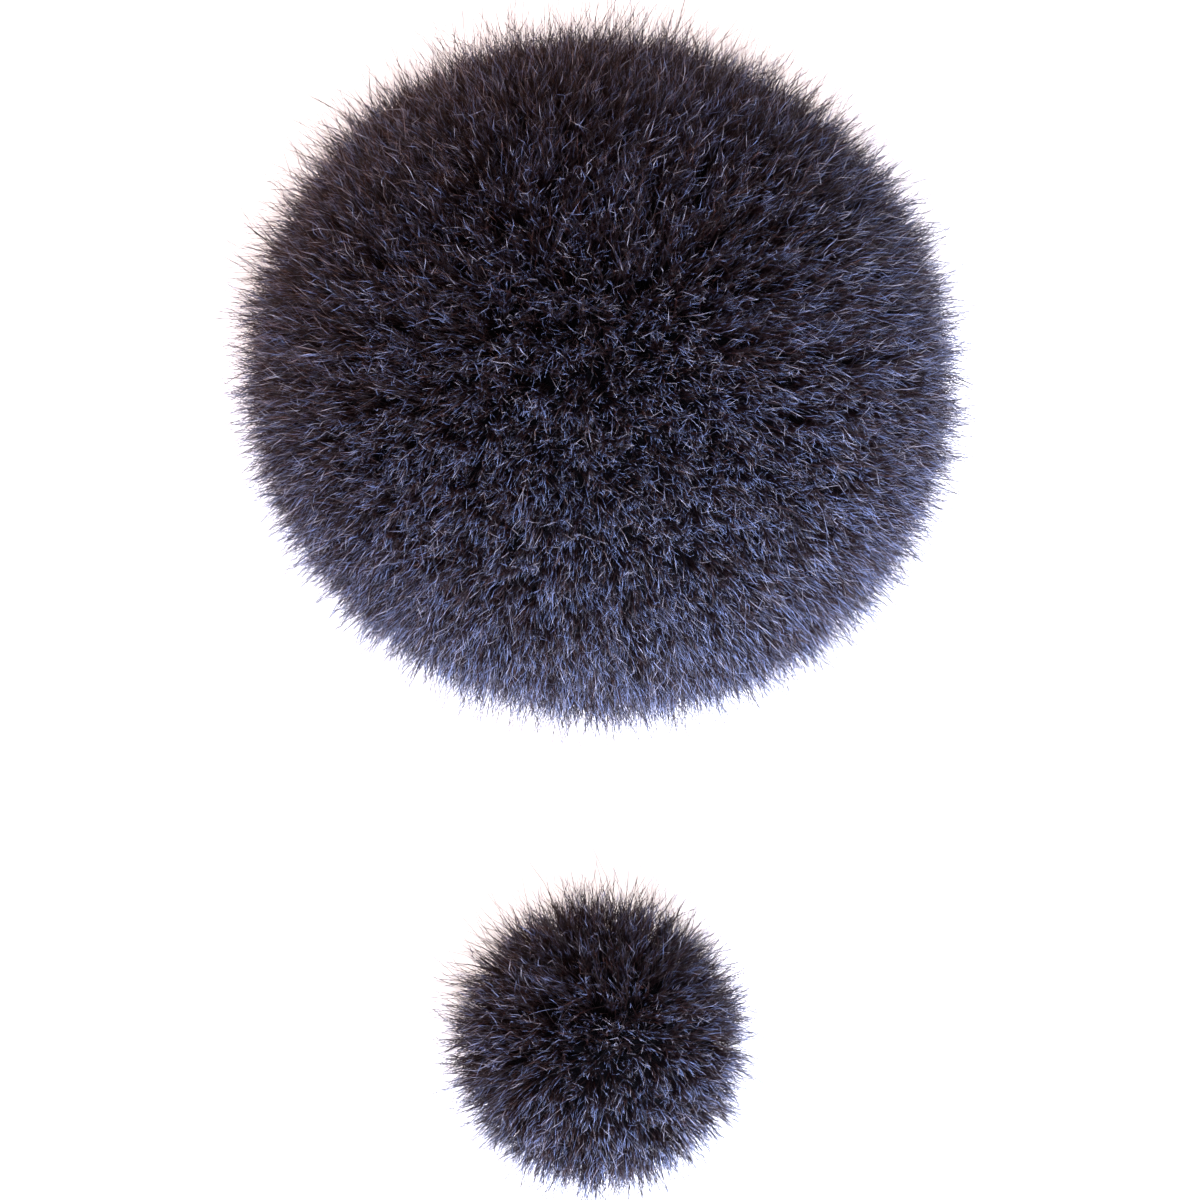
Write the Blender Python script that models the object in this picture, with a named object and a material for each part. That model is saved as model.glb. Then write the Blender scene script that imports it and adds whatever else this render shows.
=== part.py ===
"""A pair of furry windscreens for microphones: a large ball and a small one.

Each windscreen is a soft foam core with a gripping collar in its mouth, and over it
a slip-on cover of pile fabric, sewn from gores, whose hem is bound with a tape that
holds an elastic.  Both stand on their mouths, dome up, on the plane z = 0.
Lengths are in metres, +Z is up, and the origin is under the middle of the pair.
"""

import math

import bmesh
import bpy

MM = 0.001

# Pile fabric and sewing, the same for both covers
BACKING = 1.0 * MM            # knitted backing of the pile fabric
PILE = 6.4 * MM               # depth of the dense pile on the backing
SEAM_GAP = 0.3 * MM           # width of a seam between two gores
TAPE = 0.5 * MM               # thickness of the hem's binding tape
ELASTIC_RADIUS = 0.3 * MM     # round elastic inside the hem
ELASTIC_CLEARANCE = 0.3 * MM  # play around the elastic in its channel
HEM_HEIGHT = 2.6 * MM         # height of the bound hem

# Fits
PIECE_GAP = 0.3 * MM          # between pieces that touch on the real object
COVER_CLEARANCE = 0.4 * MM    # between a core and its slip-on cover

# The pair
AXIS_SPACING = 68.0 * MM      # between the upright axes of the two windscreens

LARGE = {
    "name": "large",
    "foam_radius": 26.2 * MM,       # foam core, across its straight sides
    "shoulder_height": 16.0 * MM,   # where the sides turn into the dome
    "bore_radius": 12.6 * MM,       # cavity for the microphone
    "bore_depth": 31.0 * MM,
    "collar_wall": 2.4 * MM,        # rubber collar that grips the microphone
    "collar_height": 6.0 * MM,
    "lip_reach": 1.4 * MM,          # how far the collar's lip reaches in
    "lip_height": 1.3 * MM,
    "ring_width": 4.0 * MM,         # stiff ring around the collar, none where 0
    "ring_height": 2.6 * MM,
    "gores": 4,
    "segments": 48,
}

SMALL = {
    "name": "small",
    "foam_radius": 6.3 * MM,
    "shoulder_height": 7.0 * MM,
    "bore_radius": 3.4 * MM,
    "bore_depth": 9.0 * MM,
    "collar_wall": 1.1 * MM,
    "collar_height": 3.0 * MM,
    "lip_reach": 0.4 * MM,
    "lip_height": 0.8 * MM,
    "ring_width": 0.0,
    "ring_height": 0.0,
    "gores": 2,
    "segments": 32,
}

ARC_STEP = math.radians(8.0)  # turn between two points of a rounded profile


def clear_scene():
    """Remove every object, so that the file holds only the model."""
    for item in list(bpy.data.objects):
        bpy.data.objects.remove(item, do_unlink=True)


def make_material(name, color, roughness, metallic=0.0):
    """A plain Principled material in linear colour."""
    material = bpy.data.materials.new(name)
    material.use_nodes = True
    shader = material.node_tree.nodes["Principled BSDF"]
    shader.inputs["Base Color"].default_value = (*color, 1.0)
    shader.inputs["Roughness"].default_value = roughness
    shader.inputs["Metallic"].default_value = metallic
    return material


def make_axis(name, location, parent=None):
    """An empty on the upright axis that a group of pieces turns and slides about."""
    axis = bpy.data.objects.new(name, None)
    axis.location = location
    axis.parent = parent
    bpy.context.collection.objects.link(axis)
    return axis


def dome_arc(radius, centre_height, lowest_height):
    """Points (r, z) down a ball's side, from its crown to a height at or below its centre."""
    last = math.pi / 2 + math.asin((centre_height - lowest_height) / radius)
    count = max(2, round(last / ARC_STEP))
    angles = [last * i / count for i in range(count + 1)]
    return [(radius * math.sin(a), centre_height + radius * math.cos(a)) for a in angles]


def turn(outline, segments, closed):
    """Turn an outline of (r, z) points a full circle about Z and return the mesh.

    A closed outline gives a ring.  An open one starts and ends on the axis.
    """
    mesh = bmesh.new()
    points = [mesh.verts.new((r, 0.0, z)) for r, z in outline]
    pairs = list(zip(points, points[1:]))
    if closed:
        pairs.append((points[-1], points[0]))
    edges = [mesh.edges.new(pair) for pair in pairs]
    bmesh.ops.spin(
        mesh,
        geom=points + edges,
        cent=(0.0, 0.0, 0.0),
        axis=(0.0, 0.0, 1.0),
        angle=2 * math.pi,
        steps=segments,
        use_merge=True,
    )
    bmesh.ops.remove_doubles(mesh, verts=mesh.verts, dist=1e-6)
    bmesh.ops.recalc_face_normals(mesh, faces=mesh.faces)
    return mesh


def cut_gore(mesh, index, count):
    """Keep one gore of a turned cover, half a seam back from both of its edges."""
    for edge, side in ((index, 1.0), (index + 1, -1.0)):
        angle = 2 * math.pi * edge / count
        inward = (-math.sin(angle) * side, math.cos(angle) * side, 0.0)
        on_seam = [axis * SEAM_GAP / 2 for axis in inward]
        bmesh.ops.bisect_plane(
            mesh,
            geom=mesh.verts[:] + mesh.edges[:] + mesh.faces[:],
            plane_co=on_seam,
            plane_no=inward,
            clear_inner=True,
        )
        rim = [e for e in mesh.edges if e.is_boundary]
        if rim:
            bmesh.ops.holes_fill(mesh, edges=rim, sides=0)
    bmesh.ops.recalc_face_normals(mesh, faces=mesh.faces)


def add_piece(name, mesh, parent, material):
    """Store a mesh as a named piece, standing at its parent."""
    data = bpy.data.meshes.new(name)
    bmesh.ops.triangulate(mesh, faces=[f for f in mesh.faces if len(f.verts) > 4])
    mesh.to_mesh(data)
    mesh.free()
    data.materials.append(material)
    data.shade_smooth()
    data.set_sharp_from_angle(angle=math.radians(35))
    piece = bpy.data.objects.new(name, data)
    piece.parent = parent
    bpy.context.collection.objects.link(piece)
    return piece


def cover_radius(size):
    """Inside radius of the cover, which slips over the foam."""
    return size["foam_radius"] + COVER_CLEARANCE


def ball_radius(size):
    """Outside radius of the dense pile."""
    return cover_radius(size) + BACKING + PILE


def hem_width():
    """Tape, elastic with its play, and tape again."""
    return 2 * (TAPE + ELASTIC_CLEARANCE + ELASTIC_RADIUS)


def collar_radius(size):
    """Outside radius of the grip collar."""
    return size["bore_radius"] + size["collar_wall"]


def ring_inner(size):
    """Inside radius of the stiff ring, which stands around the collar."""
    return collar_radius(size) + PIECE_GAP


def ring_outer(size):
    """Outside radius of the stiff ring."""
    return ring_inner(size) + size["ring_width"]


def build_fur_gores(size, parent, material):
    """Pile fabric cover: a ball outside, a straight-sided dome inside, open below.

    The lower inside corner is cut back for the bound hem.
    """
    inside = cover_radius(size)
    centre = size["shoulder_height"]
    hem_outer = inside + hem_width() + PIECE_GAP
    hem_top = HEM_HEIGHT + PIECE_GAP
    outline = dome_arc(ball_radius(size), centre, PIECE_GAP)
    outline += [(hem_outer, PIECE_GAP), (hem_outer, hem_top), (inside, hem_top)]
    outline += reversed(dome_arc(inside, centre, centre))
    for index in range(size["gores"]):
        mesh = turn(outline, size["segments"], closed=False)
        cut_gore(mesh, index, size["gores"])
        add_piece(f"{size['name']}_fur_gore_{index + 1}", mesh, parent, material)


def build_hem(size, parent, material):
    """Binding tape folded to a channel that is open upwards, towards the gores."""
    inner = cover_radius(size)
    outer = inner + hem_width()
    outline = [
        (inner, 0.0),
        (outer, 0.0),
        (outer, HEM_HEIGHT),
        (outer - TAPE, HEM_HEIGHT),
        (outer - TAPE, TAPE),
        (inner + TAPE, TAPE),
        (inner + TAPE, HEM_HEIGHT),
        (inner, HEM_HEIGHT),
    ]
    mesh = turn(outline, size["segments"], closed=True)
    add_piece(f"{size['name']}_hem_binding", mesh, parent, material)


def build_elastic(size, parent, material):
    """Round elastic that lies in the hem's channel all the way round."""
    middle = cover_radius(size) + hem_width() / 2
    height = TAPE + ELASTIC_CLEARANCE + ELASTIC_RADIUS
    sides = 6
    turns = [2 * math.pi * i / sides for i in range(sides)]
    outline = [
        (middle + ELASTIC_RADIUS * math.cos(a), height + ELASTIC_RADIUS * math.sin(a))
        for a in turns
    ]
    mesh = turn(outline, size["segments"], closed=True)
    add_piece(f"{size['name']}_hem_elastic", mesh, parent, material)


def build_foam(size, parent, material):
    """Moulded foam core: straight sides, domed top, blind bore, and a stepped mouth
    that the collar and the ring are bonded into."""
    radius = size["foam_radius"]
    outline = dome_arc(radius, size["shoulder_height"], size["shoulder_height"])
    outline.append((radius, 0.0))
    if size["ring_width"]:
        seat = size["ring_height"] + PIECE_GAP
        outline += [(ring_outer(size) + PIECE_GAP, 0.0), (ring_outer(size) + PIECE_GAP, seat)]
        outline.append((ring_inner(size), seat))
    else:
        outline.append((ring_inner(size), 0.0))
    step = size["collar_height"] + PIECE_GAP
    outline += [(ring_inner(size), step), (size["bore_radius"], step)]
    outline += [(size["bore_radius"], size["bore_depth"]), (0.0, size["bore_depth"])]
    mesh = turn(outline, size["segments"], closed=False)
    add_piece(f"{size['name']}_foam_core", mesh, parent, material)


def build_collar(size, parent, material):
    """Soft collar with an inward lip at the mouth, which grips the microphone."""
    outer = collar_radius(size)
    bore = size["bore_radius"]
    lip = bore - size["lip_reach"]
    outline = [
        (lip, 0.0),
        (outer, 0.0),
        (outer, size["collar_height"]),
        (bore, size["collar_height"]),
        (bore, size["lip_height"] + size["lip_reach"] / 2),
        (lip, size["lip_height"]),
    ]
    mesh = turn(outline, size["segments"], closed=True)
    add_piece(f"{size['name']}_grip_collar", mesh, parent, material)


def build_ring(size, parent, material):
    """Flat moulded ring that keeps the mouth of the foam round."""
    inner = ring_inner(size)
    outer = ring_outer(size)
    height = size["ring_height"]
    outline = [(inner, 0.0), (outer, 0.0), (outer, height), (inner, height)]
    mesh = turn(outline, size["segments"], closed=True)
    add_piece(f"{size['name']}_mouth_ring", mesh, parent, material)


def build_windscreen(size, location, materials):
    """One windscreen: its core on one axis, and its cover on an axis of its own."""
    core = make_axis(f"{size['name']}_core_axis", location)
    cover = make_axis(f"{size['name']}_cover_axis", (0.0, 0.0, 0.0), parent=core)
    build_foam(size, core, materials["foam"])
    build_collar(size, core, materials["rubber"])
    if size["ring_width"]:
        build_ring(size, core, materials["plastic"])
    build_fur_gores(size, cover, materials["fur"])
    build_hem(size, cover, materials["tape"])
    build_elastic(size, cover, materials["elastic"])


def main():
    """Build both windscreens side by side, with the pair's box centred on the origin."""
    clear_scene()
    materials = {
        "fur": make_material("pile_fabric_black", (0.020, 0.017, 0.027), 0.9),
        "tape": make_material("knitted_binding_black", (0.014, 0.013, 0.016), 0.85),
        "elastic": make_material("covered_elastic_black", (0.020, 0.020, 0.022), 0.7),
        "foam": make_material("open_cell_foam_charcoal", (0.035, 0.035, 0.038), 0.95),
        "rubber": make_material("moulded_rubber_black", (0.012, 0.012, 0.013), 0.6),
        "plastic": make_material("moulded_abs_black", (0.018, 0.018, 0.020), 0.45),
    }
    depth = ball_radius(LARGE) + AXIS_SPACING + ball_radius(SMALL)
    large_y = depth / 2 - ball_radius(LARGE)
    small_y = ball_radius(SMALL) - depth / 2
    build_windscreen(LARGE, (0.0, large_y, 0.0), materials)
    build_windscreen(SMALL, (0.0, small_y, 0.0), materials)


main()
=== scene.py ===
"""Looks for a pair of furry microphone windscreens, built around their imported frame.

Laid out as an add-on: properties for what a user would change, an operator for each
group of pieces, and a panel that lists them.  Lengths are in metres.
"""

import math
from typing import NamedTuple

import bpy
import numpy as np
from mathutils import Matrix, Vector


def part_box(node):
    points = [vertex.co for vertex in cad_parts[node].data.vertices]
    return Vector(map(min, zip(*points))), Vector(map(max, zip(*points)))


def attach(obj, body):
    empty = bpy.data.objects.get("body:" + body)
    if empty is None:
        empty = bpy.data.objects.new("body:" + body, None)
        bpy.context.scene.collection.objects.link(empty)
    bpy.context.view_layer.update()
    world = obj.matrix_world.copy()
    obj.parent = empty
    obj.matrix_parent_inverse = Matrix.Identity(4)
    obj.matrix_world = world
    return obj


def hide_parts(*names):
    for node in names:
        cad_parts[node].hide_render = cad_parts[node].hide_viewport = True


bl_info = {
    "name": "Furry windscreen pair",
    "version": (1, 0, 0),
    "blender": (4, 5, 0),
    "location": "3D View > Sidebar > Windscreens",
    "description": "Builds the pile, hems, foam and fittings of two furry windscreens",
    "category": "Object",
}

MM = 0.001
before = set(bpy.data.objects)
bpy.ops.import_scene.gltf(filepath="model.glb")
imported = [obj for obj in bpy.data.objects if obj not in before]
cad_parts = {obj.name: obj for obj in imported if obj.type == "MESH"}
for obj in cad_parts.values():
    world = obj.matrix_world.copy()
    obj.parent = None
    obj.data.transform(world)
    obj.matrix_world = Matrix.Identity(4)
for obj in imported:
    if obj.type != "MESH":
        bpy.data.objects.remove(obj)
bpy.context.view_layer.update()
UV_NAME = "OFBake"
COVER_CLEARANCE = 0.4 * MM  # between a core and its slip-on cover
FIT_GAP = 0.3 * MM  # between pieces that sit in or beside each other
COVER_FOOT = 0.3 * MM  # height of the covers' lower edges over the floor
CORE_FOOT = 0.02 * MM  # height of the cores' and fittings' lower edges


# ------------------------ settings


def length(name, description, millimetres, low=0.0):
    """A length property, given in millimetres."""
    return bpy.props.FloatProperty(
        name=name,
        description=description,
        default=millimetres * MM,
        min=low,
        unit="LENGTH",
        precision=5,
    )


def color(name, description, hexadecimal):
    """A colour property, given as an sRGB hex value and kept in linear light."""
    return bpy.props.FloatVectorProperty(
        name=name,
        description=description,
        default=linear(hexadecimal),
        size=3,
        min=0.0,
        max=1.0,
        subtype="COLOR",
    )


def quantity(name, description, number, low):
    """A property that counts things."""
    return bpy.props.IntProperty(name=name, description=description, default=number, min=low)


def power(name, description, watts):
    """A property for the power of a light."""
    return bpy.props.FloatProperty(
        name=name, description=description, default=watts, min=0.0, unit="POWER"
    )


def linear(hexadecimal):
    """Linear red, green and blue of an sRGB hex value such as '6a6f95'."""
    values = [int(hexadecimal[i:i + 2], 16) / 255 for i in (0, 2, 4)]
    return tuple(
        v / 12.92 if v <= 0.04045 else ((v + 0.055) / 1.055) ** 2.4 for v in values
    )


class FurSettings(bpy.types.PropertyGroup):
    """Sizes and colours of the pile fabric, which both covers are sewn from."""

    backing: length("Backing", "Thickness of the knitted backing", 1.0)
    underfur: length("Underfur", "Depth of the matted pile over the backing", 3.3)
    hair: length("Hair length", "Length of the hair that stands out of the underfur", 4.9)
    tuft_spacing: length("Tuft spacing", "Distance between neighbouring tufts", 0.85, 0.0002)
    # A real fibre is about a third as wide: too fine to show, so it is drawn coarser.
    hair_width: length("Hair width", "Width of one hair at its thickest", 0.095)
    hairs_per_tuft: quantity("Hairs per tuft", "Hairs that lean together into one tuft", 9, 3)
    guards_per_tuft: quantity("Guard hairs per tuft", "Longer wavy hairs in one tuft", 3, 1)
    # Painted shade: the colour that the hairs darken to deep in the pile.
    root_shade_color: color("Root", "Colour deep in the pile", "070405")
    # Painted light: a reddish brown that stands in for light shining through the lower hair from
    # behind.
    backlit_glow_color: color("Undertone", "Brown that shows low on the hairs", "220d08")
    brown_color: color("Brown", "Colour of the brown hairs", "5e3222")
    black_color: color("Black", "Colour of the black hairs", "0c0b1c")
    slate_color: color("Slate", "Colour of the slate hairs", "a5b6ea")
    # Painted highlight on the hair tips, and also the dye of the palest hairs.
    tip_highlight_and_pale_dye_color: color("Tip", "Colour that the hairs thin out to", "e8dce0")
    backing_color: color("Knit", "Colour of the knitted backing", "2b2529")


class TrimSettings(bpy.types.PropertyGroup):
    """Sizes and colours of the hems, the foam cores and the fittings."""

    thread: length("Thread", "Thickness of the sewing thread", 0.16)
    stitch: length("Stitch", "Length of one zigzag stitch", 2.2, 0.0005)
    gather: length("Gather", "Length of one gather of the elasticated hem", 5.0, 0.001)
    tape_color: color("Tape", "Colour of the binding tape", "191619")
    thread_color: color("Thread colour", "Colour of the sewing thread", "34303a")
    elastic_color: color("Elastic", "Colour of the elastic's sleeve", "121214")
    foam_color: color("Foam", "Colour of the foam's struts", "3a393d")
    rubber_color: color("Rubber", "Colour of the grip collars", "1b1b1d")
    plastic_color: color("Plastic", "Colour of the mouth ring", "232326")


class StageSettings(bpy.types.PropertyGroup):
    """The pale stage that the pair stands on."""

    floor_glow: bpy.props.FloatProperty(
        name="Floor glow",
        description="Light that comes through the opal floor",
        default=1.2,
        min=0.0,
    )
    key_power: power("Key light", "Power of the cool softbox at the lower right", 10.5)
    fill_power: power("Fill light", "Power of the warm softbox overhead", 0.9)
    rim_power: power("Rim light", "Power of the low amber light at the upper left", 1.2)
    lens: bpy.props.FloatProperty(
        name="Lens", description="Focal length in millimetres", default=150.0, min=1.0
    )


# ------------------------ mesh tools


def unit(vectors):
    """Vectors made one long."""
    return vectors / np.maximum(np.linalg.norm(vectors, axis=-1, keepdims=True), 1e-12)


def tangents(normals):
    """Two directions across each normal, at right angles to it and each other."""
    helper = np.where(np.abs(normals[..., 2:3]) < 0.9, [0.0, 0.0, 1.0], [1.0, 0.0, 0.0])
    first = unit(np.cross(helper, normals))
    return first, np.cross(normals, first)


def polar(radius, angle, height):
    """Points from radii and angles about Z and heights, which are spread to one shape."""
    place = np.broadcast_arrays(radius * np.cos(angle), radius * np.sin(angle), height)
    return np.stack(place, -1)


def whole(distance, pitch):
    """The whole number of repeats around a distance that comes nearest to a pitch."""
    return max(3, round(distance / pitch))


def mesh_object(name, points, triangles, materials, uv=None, material_of=None):
    """Put arrays into a mesh object: points (n, 3), triangles (m, 3), uv (n, 2).

    material_of gives each triangle the number of its material.
    """
    mesh = bpy.data.meshes.new(name)
    mesh.vertices.add(len(points))
    mesh.vertices.foreach_set("co", np.ascontiguousarray(points, np.float32).ravel())
    mesh.loops.add(triangles.size)
    mesh.loops.foreach_set("vertex_index", triangles.astype(np.int32).ravel())
    mesh.polygons.add(len(triangles))
    mesh.polygons.foreach_set("loop_start", np.arange(0, triangles.size, 3, dtype=np.int32))
    mesh.polygons.foreach_set("use_smooth", np.ones(len(triangles), bool))
    for material in materials:
        mesh.materials.append(material)
    if material_of is not None:
        mesh.polygons.foreach_set("material_index", material_of.astype(np.int32))
    mesh.update(calc_edges=True)
    if uv is not None:
        layer = mesh.uv_layers.new(name=UV_NAME)
        layer.data.foreach_set("uv", uv[triangles.ravel()].astype(np.float32).ravel())
    mesh.validate()
    piece = bpy.data.objects.new(name, mesh)
    bpy.context.scene.collection.objects.link(piece)
    return piece


def finish_piece(piece, body, node=None):
    """Hang a piece on its body, and let it stand for a CAD node."""
    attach(piece, body)
    if node:
        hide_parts(node)


def quads_to_triangles(quads):
    """Two triangles for each row of four corners."""
    return np.stack([quads[:, [0, 1, 2]], quads[:, [0, 2, 3]]], 1).reshape(-1, 3)


def grid_quads(rows, columns, wrap_rows, wrap_columns):
    """Corners of the quads of a grid of points, closed on itself where wrap is set."""
    down = rows if wrap_rows else rows - 1
    right = columns if wrap_columns else columns - 1
    i, j = np.meshgrid(np.arange(down), np.arange(right), indexing="ij")
    below, beside = (i + 1) % rows, (j + 1) % columns
    corners = [(i, j), (i, beside), (below, beside), (below, j)]
    return np.stack([row * columns + column for row, column in corners], -1).reshape(-1, 4)


def rounded(outline, corner, step, closed):
    """Points of an (r, z) outline with rounded corners and its sides cut into steps.

    A corner is a parabola that touches both sides: (1 - t)^2 of its start, 2 t (1 - t)
    of the sharp corner and t^2 of its end.  An open outline keeps its two ends.
    """
    bend = 4  # points of one corner
    here = np.array(outline)
    back, ahead = np.roll(here, 1, 0) - here, np.roll(here, -1, 0) - here
    sides = np.linalg.norm([back, ahead], axis=-1)
    cut = np.minimum(corner, 0.45 * sides.min(0))[:, None]
    start, end = here + unit(back) * cut, here + unit(ahead) * cut
    t = np.linspace(0, 1, bend)[:, None, None]
    bends = (1 - t) ** 2 * start + 2 * t * (1 - t) * here + t**2 * end
    points = bends.transpose(1, 0, 2).reshape(-1, 2)
    if closed:
        points = np.concatenate([points, points[:1]])
    else:
        points = np.concatenate([here[:1], points[bend:-bend], here[-1:]])
    way = np.diff(points, axis=0)
    parts = np.maximum(1, np.round(np.linalg.norm(way, axis=1) / step)).astype(int)
    number = np.arange(parts.sum()) - np.repeat(np.cumsum(parts) - parts, parts)
    share = number / np.repeat(parts, parts)
    path = np.repeat(points[:-1], parts, 0) + np.repeat(way, parts, 0) * share[:, None]
    return path if closed else np.concatenate([path, points[-1:]])


def turned(outline, around, closed, relief):
    """A surface turned about Z from (r, z) points, pushed along its normal by a relief.

    The outline runs with its solid on the left.  A closed one makes a ring; an open one
    starts and ends on the axis.  relief(angle, run, radius, height) gives the push, where
    run is the distance along the outline.  Returns points and triangles.
    """
    ahead, behind = np.roll(outline, -1, 0), np.roll(outline, 1, 0)
    if not closed:
        ahead[-1], behind[0] = outline[-1], outline[0]
    way = unit(ahead - behind)
    steps = np.linalg.norm(outline - behind, axis=1)
    steps[0] = 0
    run = np.cumsum(steps)[:, None]
    angle = np.arange(around) * 2 * math.pi / around
    radius, height = outline[:, :1], outline[:, 1:]
    push = relief(angle[None], run, radius, height) + np.zeros((len(outline), around))
    if not closed:
        push[[0, -1]] = 0
    points = polar(radius + way[:, 1:] * push, angle, height - way[:, :1] * push)
    if closed:
        quads = grid_quads(len(outline), around, True, True)
        return points.reshape(-1, 3), quads_to_triangles(quads)
    rows = len(outline) - 2
    quads = grid_quads(rows, around, False, True)
    first, last = rows * around, rows * around + 1
    here = np.arange(around)
    beside = (here + 1) % around
    top = (rows - 1) * around
    fans = [
        np.stack([np.full(around, first), beside, here], -1),
        np.stack([top + here, top + beside, np.full(around, last)], -1),
    ]
    points = np.concatenate([points[1:-1].reshape(-1, 3), points[0, :1], points[-1, :1]])
    return points, np.concatenate([quads_to_triangles(quads), *fans])


def thread_along(path, radius, sides=6):
    """A round thread along a closed path of points (n, 3): a ring of corners about each."""
    way = unit(np.roll(path, -1, 0) - np.roll(path, 1, 0))
    side = unit(np.cross([0.0, 0.0, 1.0], way))
    other = np.cross(way, side)
    angle = (np.arange(sides) * 2 * math.pi / sides)[:, None]
    ring = side[:, None] * np.cos(angle) + other[:, None] * np.sin(angle)
    points = path[:, None] + radius * ring
    quads = grid_quads(len(path), sides, True, True)
    return points.reshape(-1, 3), quads_to_triangles(quads)


class WaveField:
    """A smooth random field of vectors: a sum of sine waves of about one wavelength."""

    def __init__(self, random, wavelength, waves=20):
        direction = unit(random.normal(size=(waves, 3)))
        stretch = random.uniform(0.7, 1.4, (waves, 1))
        self.wave = direction * stretch * 2 * math.pi / wavelength
        self.phase = random.uniform(0, 2 * math.pi, waves)
        self.push = random.normal(size=(waves, 3)) / math.sqrt(waves / 2)

    def __call__(self, points):
        """The field's vectors at points, each part about one long."""
        return np.sin(points @ self.wave.T + self.phase) @ self.push


# ------------------------ materials


NOISE = "ShaderNodeTexNoise"
CELLS = "ShaderNodeTexVoronoi"
MIX_BELOW, MIX_ABOVE, MIX_RESULT = 6, 7, 2  # numbers of a Mix node's colour sockets


def new_material(name):
    """A node material, its tree and its Principled shader."""
    material = bpy.data.materials.new(name)
    material.use_nodes = True
    tree = material.node_tree
    return material, tree, tree.nodes["Principled BSDF"]


def plug(tree, node, inputs):
    """Link each named or numbered input to an output socket, or store a value in it."""
    for name, value in inputs.items():
        if isinstance(value, bpy.types.NodeSocket):
            tree.links.new(value, node.inputs[name])
        else:
            node.inputs[name].default_value = value


def add_node(tree, kind, inputs=None, stops=(), **settings):
    """Add a node, set its properties and plug its inputs.

    stops are the (position, linear colour) pairs of a colour ramp.
    """
    node = tree.nodes.new(kind)
    for name, value in settings.items():
        setattr(node, name, value)
    plug(tree, node, inputs or {})
    for _ in stops[2:]:
        node.color_ramp.elements.new(0.5)
    for number, (position, value) in enumerate(stops):
        node.color_ramp.elements[number].position = position
        node.color_ramp.elements[number].color = opaque(value)
    return node


def opaque(value):
    """A linear colour with full alpha."""
    return (*value, 1.0)


def darker(value, share):
    """A linear colour cut to a share of its light."""
    return tuple(channel * share for channel in value)


def acrylic_pile(fur):
    """Dyed acrylic fibre, drawn fine, with light and shade painted along each hair: brown-black at
    the root as painted shade deep in the pile, reddish brown lower down as painted light shining
    through from behind, dyed above, and pale at the tip as a painted highlight.

    The map's u runs from root to tip and v from brown through black and slate to pale hairs.
    """
    material, tree, shader = new_material("dyed_acrylic_pile")
    uv = add_node(tree, "ShaderNodeUVMap", uv_map=UV_NAME)
    parts = add_node(tree, "ShaderNodeSeparateXYZ", {"Vector": uv.outputs["UV"]})
    dyes = [
        (0.12, fur.brown_color),
        (0.3, fur.black_color),
        (0.50, fur.black_color),
        (0.80, fur.slate_color),
        (1.0, fur.tip_highlight_and_pale_dye_color),
    ]
    dye = add_node(tree, "ShaderNodeValToRGB", {"Fac": parts.outputs["Y"]}, dyes)
    # Painted light and shade along the hair: the dark root is painted shade, the reddish brown is
    # painted light shining through the hair, the dye shows only on the outer part, and the pale tip
    # is a painted highlight.
    layers = [  # start and end along the hair, strength and colour, from the root up
        (0.1, 0.4, 1.0, opaque(fur.backlit_glow_color)),
        (0.70, 0.94, 1.0, dye.outputs["Color"]),
        (0.85, 1.0, 0.6, opaque(fur.tip_highlight_and_pale_dye_color)),
    ]
    below = opaque(fur.root_shade_color)
    for start, end, strength, layer in layers:
        rise = add_node(
            tree,
            "ShaderNodeMapRange",
            {"Value": parts.outputs["X"], "From Min": start, "From Max": end, "To Max": strength},
            interpolation_type="SMOOTHSTEP",
        )
        mix = add_node(
            tree,
            "ShaderNodeMix",
            {"Factor": rise.outputs["Result"], MIX_BELOW: below, MIX_ABOVE: layer},
            data_type="RGBA",
        )
        below = mix.outputs[MIX_RESULT]
    plug(tree, shader, {"Base Color": below, "Roughness": 0.45, "Specular IOR Level": 0.35})
    return material


def grained(name, texture, grain, low, high, roughness, depth, specular):
    """A material with a grain of one size, which shades it between two colours and dents it.

    low is the colour of the pattern's lowest values and high that of its highest; depth is
    how deep the dents go.
    """
    material, tree, shader = new_material(name)
    place = add_node(tree, "ShaderNodeTexCoord")
    pattern = add_node(tree, texture, {"Vector": place.outputs["Object"], "Scale": 1 / grain})
    value = pattern.outputs["Fac" if texture == NOISE else "Distance"]
    shade = add_node(tree, "ShaderNodeValToRGB", {"Fac": value}, [(0.25, low), (0.7, high)])
    dent = add_node(
        tree, "ShaderNodeBump", {"Height": value, "Distance": depth, "Strength": 0.8}
    )
    plug(tree, shader, {
        "Base Color": shade.outputs["Color"],
        "Roughness": roughness,
        "Specular IOR Level": specular,
        "Normal": dent.outputs["Normal"],
    })
    return material


def matted_underfur(fur):
    """Matted acrylic fibre: the dark fur painted almost black as shade, so that the gaps between
    tufts read as depth.
    """
    return grained(
        # Both colours are near black: painted shade deep between the tufts.
        "matted_acrylic_underfur", NOISE, 0.6 * MM, linear("050406"), fur.root_shade_color,
        roughness=0.95, depth=0.3 * MM, specular=0.1,
    )


def knitted_backing(fur):
    """Warp-knitted polyester: small even loops, seen where a cover is lifted off."""
    loops = fur.backing_color
    return grained(
        "warp_knitted_polyester", CELLS, 0.7 * MM, loops, darker(loops, 0.3),
        roughness=0.9, depth=0.15 * MM, specular=0.2,
    )


def woven_tape(trim):
    """Woven polyester tape: a fine, slightly glossy weave around the mouth."""
    yarn = trim.tape_color
    return grained(
        "woven_polyester_tape", CELLS, 0.3 * MM, yarn, darker(yarn, 0.4),
        roughness=0.7, depth=0.05 * MM, specular=0.4,
    )


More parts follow.
